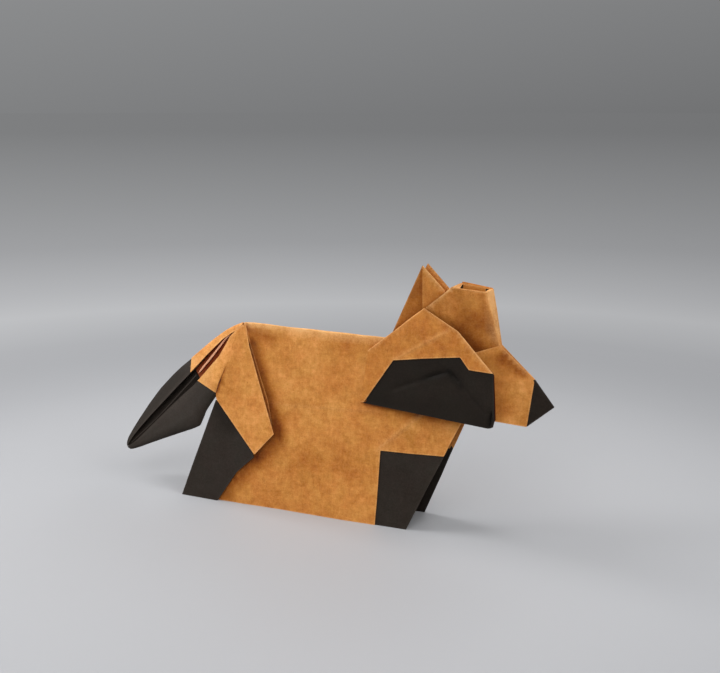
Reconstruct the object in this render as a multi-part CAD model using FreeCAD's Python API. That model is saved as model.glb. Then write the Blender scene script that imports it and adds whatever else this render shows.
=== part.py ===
import FreeCAD, Part
import os

from math import cos, radians, sin

V = FreeCAD.Vector

# Origami raccoon dog: one square of stiff two-colour paper, folded flat and then opened into a
# standing animal. It is one solid. Every panel is a flat plate of its own stack of paper layers.
# The two sides of the animal are mirror images about the plane y = 0, apart from the tail.
# The nose points to +X, the floor is z = 0, and "near" panels are those on the -Y side.

# ---- Driving dimensions, millimetres ------------------------------------------------------------

# Body: two walls that hang from one ridge fold like a tent.
back_height = 44.5        # floor to the ridge fold
stance = 13.3             # between the outer faces of the walls at the floor
belly_length = 61.6       # rear foot to front foot along the floor
rear_lean = 15.1          # how far the rear edge leans forwards from the floor to the ridge
leg_lean = 7.65           # how far the front edge leans forwards from the floor to the leg's top
chest_lean = 6.05         # how far it leans forwards from there to the throat
throat_drop = 14.0        # ridge down to where the front edge ends, inside the head
nape = 12.0               # how far the ridge fold runs on inside the head
wall_stack = 0.4          # paper thickness of a wall
outer_sheet = 0.2         # the brown sheet that lies over it, outside the front legs

# Legs
front_leg_width = 7.7     # black front foot along the floor
front_leg_height = 18.0   # floor to the brown edge above it
rear_leg_foot = 10.5      # black rear foot along the floor
hock_drop = 1.2           # lowest corner of the thigh flap down to the top of the bare leg
leg_stack = 0.45          # paper thickness of the rear leg flap

# Thigh flap: a long leaf that hangs from the rear end of the ridge.
thigh_length = 31.3       # ridge to its lowest corner
thigh_width = 16.6        # rear corner to front corner
thigh_lift = 1.7          # how far its lowest corner stands off the wall
thigh_stack = 0.5         # paper thickness of the flap

# Head: measured from the place where the hood edge crosses the ridge.
head_back = 7.5           # that place to the front foot
crown_rise = 13.9         # ridge to the rear corner of the open crown
crown_fall = 0.8          # how much lower the front corner is
crown_length = 7.85       # open crown, rear corner to front corner
crown_width = 4.6         # between the two sides of the crown at its rim
stop_width = 1.75         # between them at the top of the snout
stop_forward = 27.4       # place of the top of the snout
stop_rise = 1.1
front_tuck = 0.6          # how far the crown's front facet runs down inside the snout
hood_stack = 0.4          # paper thickness of the hood panels

# Snout and nose
nose_top_drop = 7.05      # top of the snout down to where the nose starts
nose_top_run = 8.55
nose_length = 4.35        # that place to the tip
nose_drop = 6.25
chin_drop = 17.35         # ridge down to the chin
snout_open = 3.0          # between the two sides of the snout at its lower rear corner
snout_stack = 0.35
nose_stack = 0.3

# Cheek flaps: folded back over the hood edge, they stand off the neck.
cheek_length = 35.0       # lower rear corner to the front edge
cheek_back = 5.65         # hood edge back to the lower rear corner
cheek_drop = 15.45        # ridge down to the lower rear corner
cheek_rear_spread = 5.8   # between the outer faces at the lower rear corners
cheek_top_spread = 12.0   # the same at the upper front corners
cheek_low_spread = 15.0   # the same at the lower front corners
cheek_stack = 0.55        # paper thickness, doubled towards the front edge

# Ears
ear_rise = 18.25          # ridge to the tips
ear_tip_spread = 3.8      # between the tips
ear_root_spread = 2.7     # between the ears at the foot of their creases
ear_stack = 0.3

# Tail: a flattened tube, open along a slot on its near side.
tail_length = 49.4
tail_upper = 5.7          # seam line to the upper outline, at its widest
tail_lower = 12.0         # seam line to the lower outline, at its widest
tail_slot = 2.4           # opening between the lips
tail_depth = 2.0          # near lips to the far face
tail_droop = 45.8         # degrees below level
tail_swing = -1.2         # degrees sideways
tail_roll = 21.5          # degrees that its near face turns upwards
tail_sheet = 0.35         # paper thickness of the tube

# ---- Positions worked out from them -------------------------------------------------------------

rear_foot = 0.0
front_foot = rear_foot + belly_length
ridge_rear = rear_foot + rear_lean
head_x = front_foot - head_back
hock_height = back_height - thigh_length - hock_drop
reach = (belly_length + back_height) * 2


def at_head(forward, rise):
    """x and z of a place on the head, from where the hood edge crosses the ridge."""
    return (head_x + forward, back_height + rise)


# ---- Planes of the near panels: y as a function of x and z --------------------------------------

class Plane:
    """The flat panel y = start + per_x * x + per_z * z."""

    def __init__(self, start, per_x, per_z):
        self.start = start
        self.per_x = per_x
        self.per_z = per_z

    def point(self, x, z):
        return V(x, self.start + self.per_x * x + self.per_z * z, z)

    def outward(self):
        return V(self.per_x, -1, self.per_z).normalize()


def plane_through(a, b, c):
    """The panel that three points lie on."""
    normal = (b - a).cross(c - a)
    per_x = -normal.x / normal.y
    per_z = -normal.z / normal.y
    return Plane(a.y - per_x * a.x - per_z * a.z, per_x, per_z)


def wall_plane(lift_top, lift_floor):
    """The wall's outer face, or one that stands off it by these amounts at the ridge and floor."""
    floor_y = -stance / 2 - lift_floor
    return Plane(floor_y, 0, (-lift_top - floor_y) / back_height)


# ---- Making and joining plates ------------------------------------------------------------------

def plate(points, inward, thickness):
    """A flat plate behind a polygon of points, which are corners of its outer face."""
    face = Part.Face(Part.makePolygon(points + points[:1]))
    return face.extrude(inward * thickness)


def panel(plane, corners, thickness):
    """A near panel: its corners are (x, z) pairs on its outer plane."""
    points = [plane.point(x, z) for x, z in corners]
    return plate(points, plane.outward() * -1, thickness)


def bridge(first, last, inward, thickness):
    """A narrow facet from a near edge to the mid-plane, where its mirror image carries on."""
    points = [first, last, V(last.x, 0, last.z), V(first.x, 0, first.z)]
    normal = (points[1] - points[0]).cross(points[2] - points[0]).normalize()
    if normal.dot(inward) < 0:
        normal = normal * -1
    return plate(points, normal, thickness)


# ---- Body ---------------------------------------------------------------------------------------

def make_walls():
    """The wall, and the brown sheet over it that leaves the front leg bare."""
    rear_edge = [(ridge_rear, back_height), (rear_foot, 0)]
    elbow = (front_foot + leg_lean, front_leg_height)
    throat = (elbow[0] + chest_lean, back_height - throat_drop)
    upper = [elbow, throat, (head_x + nape, back_height)]
    leg_back = front_foot - front_leg_width
    around_leg = [(leg_back, 0), (leg_back + front_leg_width * 0.04, front_leg_height)]
    bare = wall_plane(-outer_sheet, -outer_sheet)
    wall = panel(bare, rear_edge + [(front_foot, 0)] + upper, wall_stack)
    cover = panel(wall_plane(0, 0), rear_edge + around_leg + upper, outer_sheet)
    return [wall, cover]


def make_rear_leg():
    """The black flap over the rear foot, tucked under the thigh flap."""
    knee_x = ridge_rear - thigh_width * 0.36
    corners = [
        (rear_foot, 0),
        (rear_foot + rear_leg_foot, 0),
        (rear_foot + rear_leg_foot * 1.5, hock_height * 0.68),
        (rear_foot + rear_leg_foot * 1.88, hock_height),
        (ridge_rear, hock_height * 2),
        (knee_x, back_height - thigh_length * 0.6),
    ]
    return panel(wall_plane(leg_stack, leg_stack), corners, leg_stack)


def make_thigh():
    """The brown flap that hangs from the ridge over the rear leg."""
    low = back_height - thigh_length
    wall = wall_plane(0, 0)
    lifted = wall.point(0, low).y - thigh_lift
    top = V(ridge_rear, -outer_sheet, back_height)
    plane = plane_through(top, top + V(1, 0, 0), V(ridge_rear, lifted, low))
    rear = ridge_rear - thigh_width * 0.36
    front = ridge_rear + thigh_width * 0.64
    corners = [
        (ridge_rear - thigh_width * 0.01, back_height),
        (ridge_rear + thigh_width * 0.066, back_height - thigh_length * 0.15),
        (front, back_height - thigh_length * 0.825),
        (front - thigh_width * 0.295, low),
        (rear, back_height - thigh_length * 0.61),
        (rear + thigh_width * 0.08, back_height - thigh_length * 0.46),
        (ridge_rear - thigh_width * 0.1, back_height - thigh_length * 0.064),
    ]
    return panel(plane, corners, thigh_stack)


# ---- Head ---------------------------------------------------------------------------------------

crown_front = at_head(stop_forward * 0.903, crown_rise - crown_fall)
crown_rear = (crown_front[0] - crown_length, back_height + crown_rise)
stop = at_head(stop_forward, stop_rise)
hood_mid = at_head(stop_forward * 0.367, crown_rise * 0.59)
hood_low = at_head(stop_forward * -0.162, crown_rise * -0.209)
hood_cross = at_head(0, crown_rise * 0.018)
seam_rear = at_head(stop_forward * 0.836, crown_rise * -0.058)
nose_top = at_head(stop_forward + nose_top_run, stop_rise - nose_top_drop)
nose_tip = (nose_top[0] + nose_length, nose_top[1] - nose_drop)
chin_front = at_head(stop_forward + nose_top_run * 0.854, -chin_drop)
chin_rear = at_head(stop_forward + nose_top_run * 0.047, chin_drop * -0.968)


def hood_plane():
    """The side of the crown, which leans in from the rim to the top of the snout."""
    rim = V(crown_front[0], -crown_width / 2, crown_front[1])
    return plane_through(rim, rim - V(1, 0, 0), V(stop[0], -stop_width / 2, stop[1]))


def make_hood():
    """The crown's side, its narrow front facet, the closed strip at its rear and the neck."""
    side = hood_plane()
    corners = [crown_rear, hood_mid, hood_cross, seam_rear, stop, crown_front]
    shell = panel(side, corners, hood_stack)
    lean = (stop[0] - crown_front[0]) / (crown_front[1] - stop[1])
    front_end = side.point(stop[0] + front_tuck * lean, stop[1] - front_tuck)
    front = bridge(side.point(*crown_front), front_end, V(-1, 0, 0), hood_stack)
    strip_end = at_head(stop_forward * 0.536, crown_rise * 0.87)
    rear = bridge(side.point(*crown_rear), side.point(*strip_end), V(0, 0, -1), hood_stack)
    inside = V(0, hood_stack / 2, 0)
    sunk = crown_length * 0.16
    filler_rear = side.point(crown_rear[0] + sunk * 1.1, crown_rear[1] - sunk) + inside
    filler_front = side.point(crown_front[0] - sunk, crown_front[1] - sunk) + inside
    filler = bridge(filler_rear, filler_front, V(0, 0, -1), hood_stack)
    lift = hood_stack * 1.125
    neck_front = at_head(stop_forward * 0.745, cheek_drop * -0.55)
    neck_rear = at_head(stop_forward * 0.088, cheek_drop * -0.55)
    neck_corners = [hood_low, hood_cross, seam_rear, neck_front, neck_rear]
    neck = panel(wall_plane(lift, lift), neck_corners, hood_stack)
    return [shell, front, rear, filler, neck]


def make_snout():
    """The brown snout, its narrow top facet and the black nose that shows at its end."""
    top = V(stop[0], -stop_width / 2, stop[1])
    bridge_end = V(nose_top[0], -nose_stack / 3, nose_top[1])
    low = V(chin_rear[0], -snout_open / 2, chin_rear[1])
    side = plane_through(top, bridge_end, low)
    behind_chin = at_head(stop_forward * 0.745, chin_drop * -0.934)
    behind_seam = at_head(stop_forward * 0.69, chin_drop * -0.26)
    corners = [seam_rear, stop, nose_top, chin_front, chin_rear, behind_chin, behind_seam]
    shell = panel(side, corners, snout_stack)
    roof = bridge(top, side.point(*nose_top), V(0, 0, -1), snout_stack)
    chin = side.point(*chin_front) + V(0, nose_stack / 2, 0)
    nose_plane = plane_through(V(nose_top[0], 0, nose_top[1]), V(nose_tip[0], 0, nose_tip[1]), chin)
    root_low = (chin_front[0] - nose_length * 0.7, chin_front[1] + nose_length * 0.23)
    root_top = (nose_top[0] - nose_length * 0.83, nose_top[1] - nose_length * 0.34)
    nose_corners = [nose_top, nose_tip, chin_front, root_low, root_top]
    nose = panel(nose_plane, nose_corners, nose_stack)
    return [shell, roof, nose]


def make_cheek():
    """The flap with the black patch, folded over the hood edge and standing off the neck."""
    rear_low = at_head(-cheek_back, -cheek_drop)
    front_top = (rear_low[0] + cheek_length * 0.9586, back_height - cheek_drop * 0.291)
    front_low = (rear_low[0] + cheek_length * 0.9943, back_height - cheek_drop * 0.958)
    outer = plane_through(
        V(rear_low[0], -cheek_rear_spread / 2, rear_low[1]),
        V(front_top[0], -cheek_top_spread / 2, front_top[1]),
        V(front_low[0], -cheek_low_spread / 2, front_low[1]))
    crest = (rear_low[0] + cheek_length * 0.693, back_height + cheek_drop * 0.249)
    heel = (front_low[0] - cheek_length * 0.01, front_low[1] - cheek_drop * 0.09)
    toe = (front_low[0] - cheek_length * 0.046, front_low[1] - cheek_drop * 0.117)
    corners = [hood_low, hood_mid, crest, front_top, front_low, heel, toe, rear_low]
    flap = panel(outer, corners, cheek_stack)
    inner = outer.outward() * -cheek_stack
    lining_top = (rear_low[0] + cheek_length * 0.656, back_height - cheek_drop * 0.35)
    lining_low = (rear_low[0] + cheek_length * 0.516, back_height - cheek_drop * 1.03)
    double = [lining_top, front_top, front_low, heel, toe, lining_low]
    lining = panel(outer, double, cheek_stack)
    lining.translate(inner)
    fold_points = [outer.point(*hood_low), outer.point(*hood_mid)]
    neck = wall_plane(hood_stack / 2, hood_stack / 2)
    fold_points += [hood_plane().point(*hood_mid), neck.point(*hood_low)]
    under = outer.outward().cross(fold_points[1] - fold_points[0]).normalize()
    under = under * -1 if under.z > 0 else under
    fold = plate(fold_points[:3], under, hood_stack)
    fold_end = plate([fold_points[0]] + fold_points[2:], under, hood_stack)
    return [flap, lining, fold, fold_end]


def make_ear():
    """A pointed ear with one upright crease: its rear facet runs back to the ridge."""
    tip = at_head(ear_rise * 0.526, ear_rise)
    crease = at_head(ear_rise * 0.493, ear_rise * 0.384)
    rim_end = at_head(ear_rise * 0.805, ear_rise * 0.701)
    base = at_head(ear_rise * 0.049, ear_rise * 0.104)
    front = plane_through(
        V(tip[0], -ear_tip_spread / 2, tip[1]),
        V(rim_end[0], -ear_tip_spread * 0.474, rim_end[1]),
        V(crease[0], -ear_root_spread / 2, crease[1]))
    rear = plane_through(front.point(*tip), front.point(*crease), V(base[0], 0, base[1]))
    inside = at_head(ear_rise * 0.822, ear_rise * 0.493)
    return [
        panel(front, [tip, rim_end, inside, crease], ear_stack),
        panel(rear, [tip, crease, base], ear_stack),
    ]


# ---- Tail ---------------------------------------------------------------------------------------

def tail_axes():
    """Directions along the tail, across it towards its upper outline, and out of its near face."""
    along = V(-cos(radians(tail_droop)) * cos(radians(tail_swing)),
              sin(radians(tail_swing)) * cos(radians(tail_droop)),
              -sin(radians(tail_droop)))
    level = V(0, -1, 0) - along * V(0, -1, 0).dot(along)
    out = FreeCAD.Rotation(along, tail_roll).multVec(level.normalize())
    return along, along.cross(out), out


def tail_outline():
    """Rows of: distance along, upper outline, upper lip, lower lip, lower outline, share of depth."""
    up = tail_upper
    low = -tail_lower
    lip = tail_slot / 2
    end = tail_length
    return [
        (end * -0.03, up * 0.02, lip * -0.17, lip * -0.5, low * 0.1, 0.3),
        (end * 0.075, up * 0.33, lip * 0.42, lip * -0.58, low * 0.2, 0.5),
        (end * 0.18, up * 0.6, lip * 1.5, -lip, low * 0.42, 0.8),
        (end * 0.34, up * 0.82, lip * 1.42, -lip, low * 0.79, 1),
        (end * 0.52, up * 0.97, lip * 1.5, lip * -0.75, low, 1),
        (end * 0.73, up * 0.95, lip * 1.67, lip * -0.42, low * 0.54, 0.9),
        (end * 0.90, up * 0.62, lip * 1.23, lip * 0.27, low * 0.22, 0.7),
        (end * 0.975, up * 0.41, lip * 0.92, lip * 0.58, low * 0.1, 0.5),
        (end, up * 0.27, lip * 0.83, lip * 0.67, low * -0.02, 0.25),
    ]


def tail_section(row):
    """Corners of one cross-section: round the outside of the open tube, then back inside it."""
    s, upper, lip_up, lip_low, lower, full = row
    sheet = tail_sheet * full
    bend = tail_depth * 0.25 * full
    near = tail_depth * 0.2 * full
    edge = -tail_depth * 0.3 * full
    far = -tail_depth * 0.8 * full
    outside = [
        (lip_up, near),
        (upper, edge),
        (upper - bend, far),
        (lower + bend * 1.6, far),
        (lower, edge),
        (lip_low, near),
    ]
    inside = [
        (lip_low, near - sheet),
        (lower + sheet * 1.6, edge),
        (lower + bend * 1.6 + sheet, far + sheet),
        (upper - bend - sheet, far + sheet),
        (upper - sheet * 1.6, edge),
        (lip_up, near - sheet),
    ]
    along, across, out = tail_axes()
    root = V(ridge_rear - tail_slot * 0.5, 0, back_height - tail_slot / 3)
    return [root + along * s + across * w + out * d for w, d in outside + inside]


def triangle(a, b, c):
    return Part.Face(Part.makePolygon([a, b, c, a]))


def make_tail():
    """The tube, slit along its near side: flat facets from each cross-section to the next."""
    sections = [tail_section(row) for row in tail_outline()]
    count = len(sections[0])
    faces = [Part.Face(Part.makePolygon(end + end[:1])) for end in (sections[0], sections[-1])]
    for first, second in zip(sections, sections[1:]):
        for i in range(count):
            j = (i + 1) % count
            faces.append(triangle(first[i], first[j], second[i]))
            faces.append(triangle(second[i], first[j], second[j]))
    tube = Part.Solid(Part.Shell(faces))
    return tube if tube.Volume > 0 else tube.reversed()


# ---- Assembly -----------------------------------------------------------------------------------

def make_half():
    """Every near panel, kept on its own side of the mid-plane."""
    parts = make_walls() + [make_rear_leg(), make_thigh()]
    parts += make_hood() + make_snout() + make_cheek() + make_ear()
    whole = parts[0].multiFuse(parts[1:])
    keep = Part.makeBox(reach * 2, reach, reach * 2, V(-reach, -reach, -reach))
    return whole.common(keep)


def make_raccoon_dog():
    half = make_half()
    other = half.mirror(V(0, 0, 0), V(0, 1, 0))
    body = half.multiFuse([other, make_tail()]).removeSplitter()
    below_floor = Part.makeBox(reach * 2, reach * 2, reach, V(-reach, -reach, -reach))
    body = body.cut(below_floor)
    box = body.BoundBox
    body.translate(V(-box.Center.x, -box.Center.y, -box.ZMin))
    return body


model = make_raccoon_dog()
os.makedirs("parts", exist_ok=True)
solids = model.Solids
print("solids", len(solids), "valid", model.isValid(), "volume", round(model.Volume, 1))
print("box", model.BoundBox)
solids[0].exportStep("parts/raccoon_dog.step")
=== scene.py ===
from math import cos, radians, sin

import bmesh
import bpy
from mathutils import Matrix, Vector, noise


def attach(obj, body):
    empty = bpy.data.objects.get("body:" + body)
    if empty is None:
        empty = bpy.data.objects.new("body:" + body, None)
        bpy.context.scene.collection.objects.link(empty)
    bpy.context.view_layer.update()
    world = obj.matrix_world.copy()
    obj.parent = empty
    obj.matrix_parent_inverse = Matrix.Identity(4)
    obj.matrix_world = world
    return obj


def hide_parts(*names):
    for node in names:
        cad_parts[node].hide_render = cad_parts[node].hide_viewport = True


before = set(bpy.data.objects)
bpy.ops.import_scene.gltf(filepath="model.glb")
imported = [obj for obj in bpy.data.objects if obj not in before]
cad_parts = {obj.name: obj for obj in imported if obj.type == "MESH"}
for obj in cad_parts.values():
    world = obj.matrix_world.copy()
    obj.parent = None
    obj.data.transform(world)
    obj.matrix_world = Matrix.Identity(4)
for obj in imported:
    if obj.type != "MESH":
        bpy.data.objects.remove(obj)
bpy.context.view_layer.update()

# Origami raccoon dog: one square of two-colour paper, brown on one side and black on the other.
# Every layer that shows is a sheet of its own here, so that edges, steps and slots are real.
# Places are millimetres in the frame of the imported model: the nose points to +X, the floor is
# z = 0 and the animal's middle is y = 0. "Near" is the -Y side; the far side mirrors it.

MM = 0.001

# ---- Key places, (x, z) on the near side ----------------------------------------------------------

rear_foot = (-36.7, 0)
rear_foot_front = (-25.94, 0)
shin_top = (-20.3, 22.0)
front_foot = (25.16, 0)
elbow = (33.35, 18.35)
throat = (38.86, 30.5)
leg_back_low = (17.26, 0)
leg_back_top = (17.6, 18.0)

crown_front = (42.7, 57.7)
crown_rear = (34.45, 58.42)
stop = (45.4, 45.4)
hood_mid = (27.62, 52.82)
hood_low = (13.22, 41.6)
hood_cross = (17.66, 44.75)
seam_rear = (40.57, 43.7)
nose_top = (53.6, 38.2)
nose_tip = (58.3, 32.2)
chin_front = (52.2, 27.05)
chin_rear = (45.46, 27.7)

cheek_rear = (12.01, 29.05)
cheek_crest = (36.38, 48.48)
cheek_front_top = (45.6, 40.05)
cheek_front_low = (46.56, 29.55)
cheek_heel = (46.2, 28.05)
cheek_toe = (45.1, 27.65)

# ---- Heights, and half widths from the middle of the animal ---------------------------------------

ridge_height = 44.5
hock_height = 13.2         # the lowest corner of the thigh flap

ridge_half = 0.42          # the rounded ridge fold
foot_half = 6.65           # the walls at the floor
thigh_half = 6.45          # the thigh flap at the hock, and the layer under it
thigh_under_half = 5.5
crown_half = 3.1
lip_half = 2.9             # the lips across the crown's opening, and the one along its far rim
far_lip_half = 2.95
hood_half = 1.6
stop_half = 0.9
seam_half = 0.4
hood_foot_half = 0.9
nose_half = 0.12
chin_half = 1.5
cheek_top_half = 6.0
cheek_low_half = 7.5
cheek_rear_half = 2.95
ear_tip_half = 1.9
ear_rim_half = 1.75
ear_crease_half = 0.35
ear_rear_half = 0.75

# Where a sheet is drawn in or opened out: place, reach, share of its width
body_flares = [(throat, 12.0, 0.66), (elbow, 10.0, 0.84)]
hood_flares = [(crown_rear, 9.0, 1.17), (crown_front, 7.0, 0.84)]


# ---- Planes ---------------------------------------------------------------------------------------

class Plane:
    """The plane of a near panel, through three places."""

    def __init__(self, a, b, c):
        normal = (b - a).cross(c - a).normalized()
        self.normal = normal if normal.y < 0 else -normal
        self.a = a

    def at(self, place, lift=0.0):
        """The point of the plane over an (x, z) place, raised outwards by lift."""
        x, z = place
        n = self.normal
        y = self.a.y - (n.x * (x - self.a.x) + n.z * (z - self.a.z)) / n.y
        return Vector((x, y, z)) + n * lift

    def panel(self, places, lift=0.0):
        """The corners of a flat panel over (x, z) places."""
        return [self.at(place, lift) for place in places]


def spot(place, y):
    """The point at an (x, z) place and a distance y from the middle."""
    return Vector((place[0], y, place[1]))


def level_plane(high, high_half, low, low_half):
    """A plane that is level along X and leans outwards from one height to another."""
    return Plane(Vector((0, -high_half, high)), Vector((10, -high_half, high)),
                 Vector((0, -low_half, low)))


wall = level_plane(ridge_height, ridge_half, 0, foot_half)
thigh = level_plane(ridge_height, ridge_half + 0.4, hock_height, thigh_half)
thigh_under = level_plane(ridge_height, ridge_half + 0.1, hock_height, thigh_under_half)
shin = Plane(wall.at(rear_foot, 0.42), wall.at(rear_foot_front, 0.75), wall.at(shin_top, 0.8))
crown = Plane(spot(crown_front, -crown_half), spot(stop, -stop_half), spot(hood_mid, -hood_half))
hood_base = Plane(spot(hood_mid, -hood_half), spot(seam_rear, -seam_half),
                  spot(hood_cross, -hood_foot_half))
snout = Plane(spot(stop, -stop_half), spot(nose_top, -nose_half), spot(chin_rear, -chin_half))
cheek = Plane(spot(cheek_front_top, -cheek_top_half), spot(cheek_front_low, -cheek_low_half),
              spot(cheek_rear, -cheek_rear_half))


# ---- Folding sheets -------------------------------------------------------------------------------

cut_reach = 0.002          # corners this near a cut count as on it
weld_reach = 0.02          # corners this near each other are one
same_place = 0.05          # a corner this near a place is at that place
tip_round = 0.12           # how far the tips of the paper are rounded off
least_fold = radians(9)    # the smallest angle that is a fold
sharp_edge = radians(40)   # the smallest angle that is shaded as an edge
rim_margin = 0.4           # how far a rim is drawn paler, partly by handling and partly as painted highlight, and how strongly
default_rim_paling = 0.5

# Waves for each millimetre along x, y and z: the slow swell of the paper, and a quick ripple
swell_waves = (0.055, 0.12, 0.06)
ripple_waves = (0.19, 0.3, 0.21)
ripple_share = 0.35


def smooth(share):
    """A share from 0 to 1, eased at both ends."""
    return share * share * (3 - 2 * share)


def clamped(share):
    """A share, held between 0 and 1."""
    return min(1, max(0, share))


def with_corners(faces):
    """Some faces with their edges and corners, each of them once and in a fixed order."""
    parts = dict.fromkeys(faces)
    for face in faces:
        parts.update(dict.fromkeys([*face.edges, *face.verts]))
    return list(parts)


def cut(bm, faces, place, across):
    """Cut some faces along a plane."""
    bmesh.ops.bisect_plane(bm, geom=with_corners(faces), dist=cut_reach, plane_co=place,
                           plane_no=across)


def cut_cells(bm, cell):
    """Cut a sheet into small cells, so that it can give a little."""
    for axis in (0, 2):
        across = Vector((0, 0, 0))
        across[axis] = 1
        low = min(v.co[axis] for v in bm.verts)
        high = max(v.co[axis] for v in bm.verts)
        count = max(1, round((high - low) / cell))
        for i in range(1, count):
            place = across * (low + (high - low) * i / count)
            cut(bm, bm.faces[:], place, across)


def cut_margins(bm, margin):
    """Cut a narrow border along every rim of the sheet, through the faces near that rim."""
    bm.normal_update()
    rims = []
    for edge in bm.edges:
        if len(edge.link_faces) == 1:
            a, b = (v.co.copy() for v in edge.verts)
            inward = edge.link_faces[0].normal.cross(b - a).normalized()
            if inward.dot(edge.link_faces[0].calc_center_median() - a) < 0:
                inward = -inward
            rims.append((a, b, inward))
    for a, b, inward in rims:
        middle = (a + b) / 2
        reach = (b - a).length / 2 + margin * 0.5
        near = []
        for face in bm.faces:
            from_middle = face.calc_center_median() - middle
            deep = from_middle.dot(inward)
            if abs(deep) < margin * 4 and (from_middle - inward * deep).length < reach:
                near.append(face)
        cut(bm, near, a + inward * margin, inward)


def beside_line(point, start, end, stops=False):
    """How far a point lies from a line seen from the side, and its share of the way along.

    The line runs on past its ends, unless it stops there.
    """
    line = Vector((end[0] - start[0], end[1] - start[1]))
    reach = Vector((point.x - start[0], point.z - start[1]))
    share = reach.dot(line) / line.length_squared
    if stops:
        share = clamped(share)
    return (reach - line * share).length, share


def press_crease(bm, start, end, height, width):
    """Cut along an old crease and raise or sink it, dying away over a sixth at both ends."""
    line = Vector((end[0] - start[0], 0, end[1] - start[1])).normalized()
    across = Vector((line.z, 0, -line.x))
    cut_width = width * 2 + 1.2    # the cuts reach a little past the crease
    for side in (-1, 0, 1):
        near = []
        for face in bm.faces:
            away, share = beside_line(face.calc_center_median(), start, end)
            if away < cut_width and -0.05 < share < 1.05:
                near.append(face)
        cut(bm, near, Vector((start[0], 0, start[1])) + across * width * side, across)
    bm.normal_update()
    moves = []
    for v in bm.verts:
        away, share = beside_line(v.co, start, end)
        if away < width * 0.95 and 0 < share < 1:
            fade = min(1, 6 * share, 6 * (1 - share))
            moves.append((v, v.normal * height * fade * (1 - away / width)))
    for v, move in moves:
        v.co += move


def waves_at(place, waves, seed):
    """Smooth noise at a place, at so many waves for each millimetre."""
    return noise.noise(Vector((place.x * waves[0], place.y * waves[1] + seed,
                               place.z * waves[2])))


def give(bm, amount, seed):
    """Let the sheet swell and sag a little, as handled paper does."""
    bm.normal_update()
    moves = []
    for v in bm.verts:
        slow = waves_at(v.co, swell_waves, seed)
        quick = waves_at(v.co, ripple_waves, -seed)
        moves.append((v, v.normal * amount * (slow + quick * ripple_share)))
    for v, move in moves:
        v.co += move


def flared(point, flares):
    """The point, drawn in or opened out beside the given (x, z) places."""
    width = 1.0
    for place, reach, share in flares:
        near = max(0, 1 - (Vector((point.x, point.z)) - Vector(place)).length / reach)
        width *= 1 + (share - 1) * smooth(near)
    return Vector((point.x, point.y * width, point.z))


def behind(back, down):
    """For a face's middle, the point on the animal's middle plane that far behind and under it."""
    return lambda centre: Vector((centre.x - back, 0, centre.z - down))


def under(ceiling, x=None):
    """For a face's middle, the point level with it on the middle plane, but under the ceiling."""
    return lambda centre: Vector((centre.x if x is None else x, 0, min(centre.z, ceiling)))


def face_away(bm, inside):
    """Turn every face away from the inside point that is given for its middle."""
    bm.normal_update()
    for face in bm.faces:
        centre = face.calc_center_median()
        if face.normal.dot(centre - inside(centre)) < 0:
            face.normal_flip()
    bm.normal_update()


def outline_lines(panels, plain_rims=()):
    """Rims and folds of the panels, but for those on the mid-plane and the plain ones that are not
    drawn paler.
    """
    lines = []
    for corners in panels:
        for a, b in zip(corners, corners[1:] + corners[:1]):
            kept = [min((a - spot(p, a.y)).length, (b - spot(p, b.y)).length) < same_place
                    for p in plain_rims]
            if sum(kept) < 2 and (abs(a.y) > weld_reach or abs(b.y) > weld_reach):
                lines.append((a, b))
    return lines


def mark_wear_and_highlight(bm, lines, mirrored=True):
    """Store how much paler the paper is drawn: scuffing, and painted highlight on lit rims, ridges and
    faces. Lines: two ends, reach, strength.
    """
    layer = bm.verts.layers.float.new("wear_and_highlight")
    for v in bm.verts:
        near = Vector((v.co.x, -abs(v.co.y) if mirrored else v.co.y, v.co.z))
        for a, b, reach, strength in lines:
            line = b - a
            share = clamped((near - a).dot(line) / max(line.length_squared, 1e-9))
            away = (near - a - line * share).length
            v[layer] = max(v[layer], strength * (1 - away / reach))


def mark_tone_and_shade(bm, tone_and_shade, bands):
    """Store how light the paper is drawn, per sheet and in bands that hold painted shade and painted
    light. Bands: two (x, z) ends, reach, and the factor beside that line.
    """
    layer = bm.verts.layers.float.new("tone_and_shade")
    for v in bm.verts:
        v[layer] = tone_and_shade
        for start, end, reach, depth in bands:
            away, _ = beside_line(v.co, start, end, stops=True)
            v[layer] *= 1 + (depth - 1) * smooth(max(0, 1 - away / reach))


def finish_piece(bm, name, material):
    """Put a finished sheet in the scene, in metres."""
    bmesh.ops.scale(bm, vec=(MM, MM, MM), verts=bm.verts)
    mesh = bpy.data.meshes.new(name)
    bm.to_mesh(mesh)
    bm.free()
    mesh.materials.append(material)
    for polygon in mesh.polygons:
        polygon.use_smooth = True
    mesh.set_sharp_from_angle(angle=sharp_edge)
    piece = bpy.data.objects.new(name, mesh)
    bpy.context.collection.objects.link(piece)
    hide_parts("raccoon_dog")
    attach(piece, "root")
    return piece


def thicken(bm, thickness):
    """Give a sheet its paper thickness, inwards."""
    bmesh.ops.dissolve_degenerate(bm, edges=bm.edges[:], dist=weld_reach)
    bm.normal_update()
    sheet_verts = [(v, v.normal.copy()) for v in bm.verts]
    bmesh.ops.extrude_face_region(bm, geom=bm.faces[:])
    for v, outward in sheet_verts:
        v.co -= outward * thickness
    bmesh.ops.recalc_face_normals(bm, faces=bm.faces[:])


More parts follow.
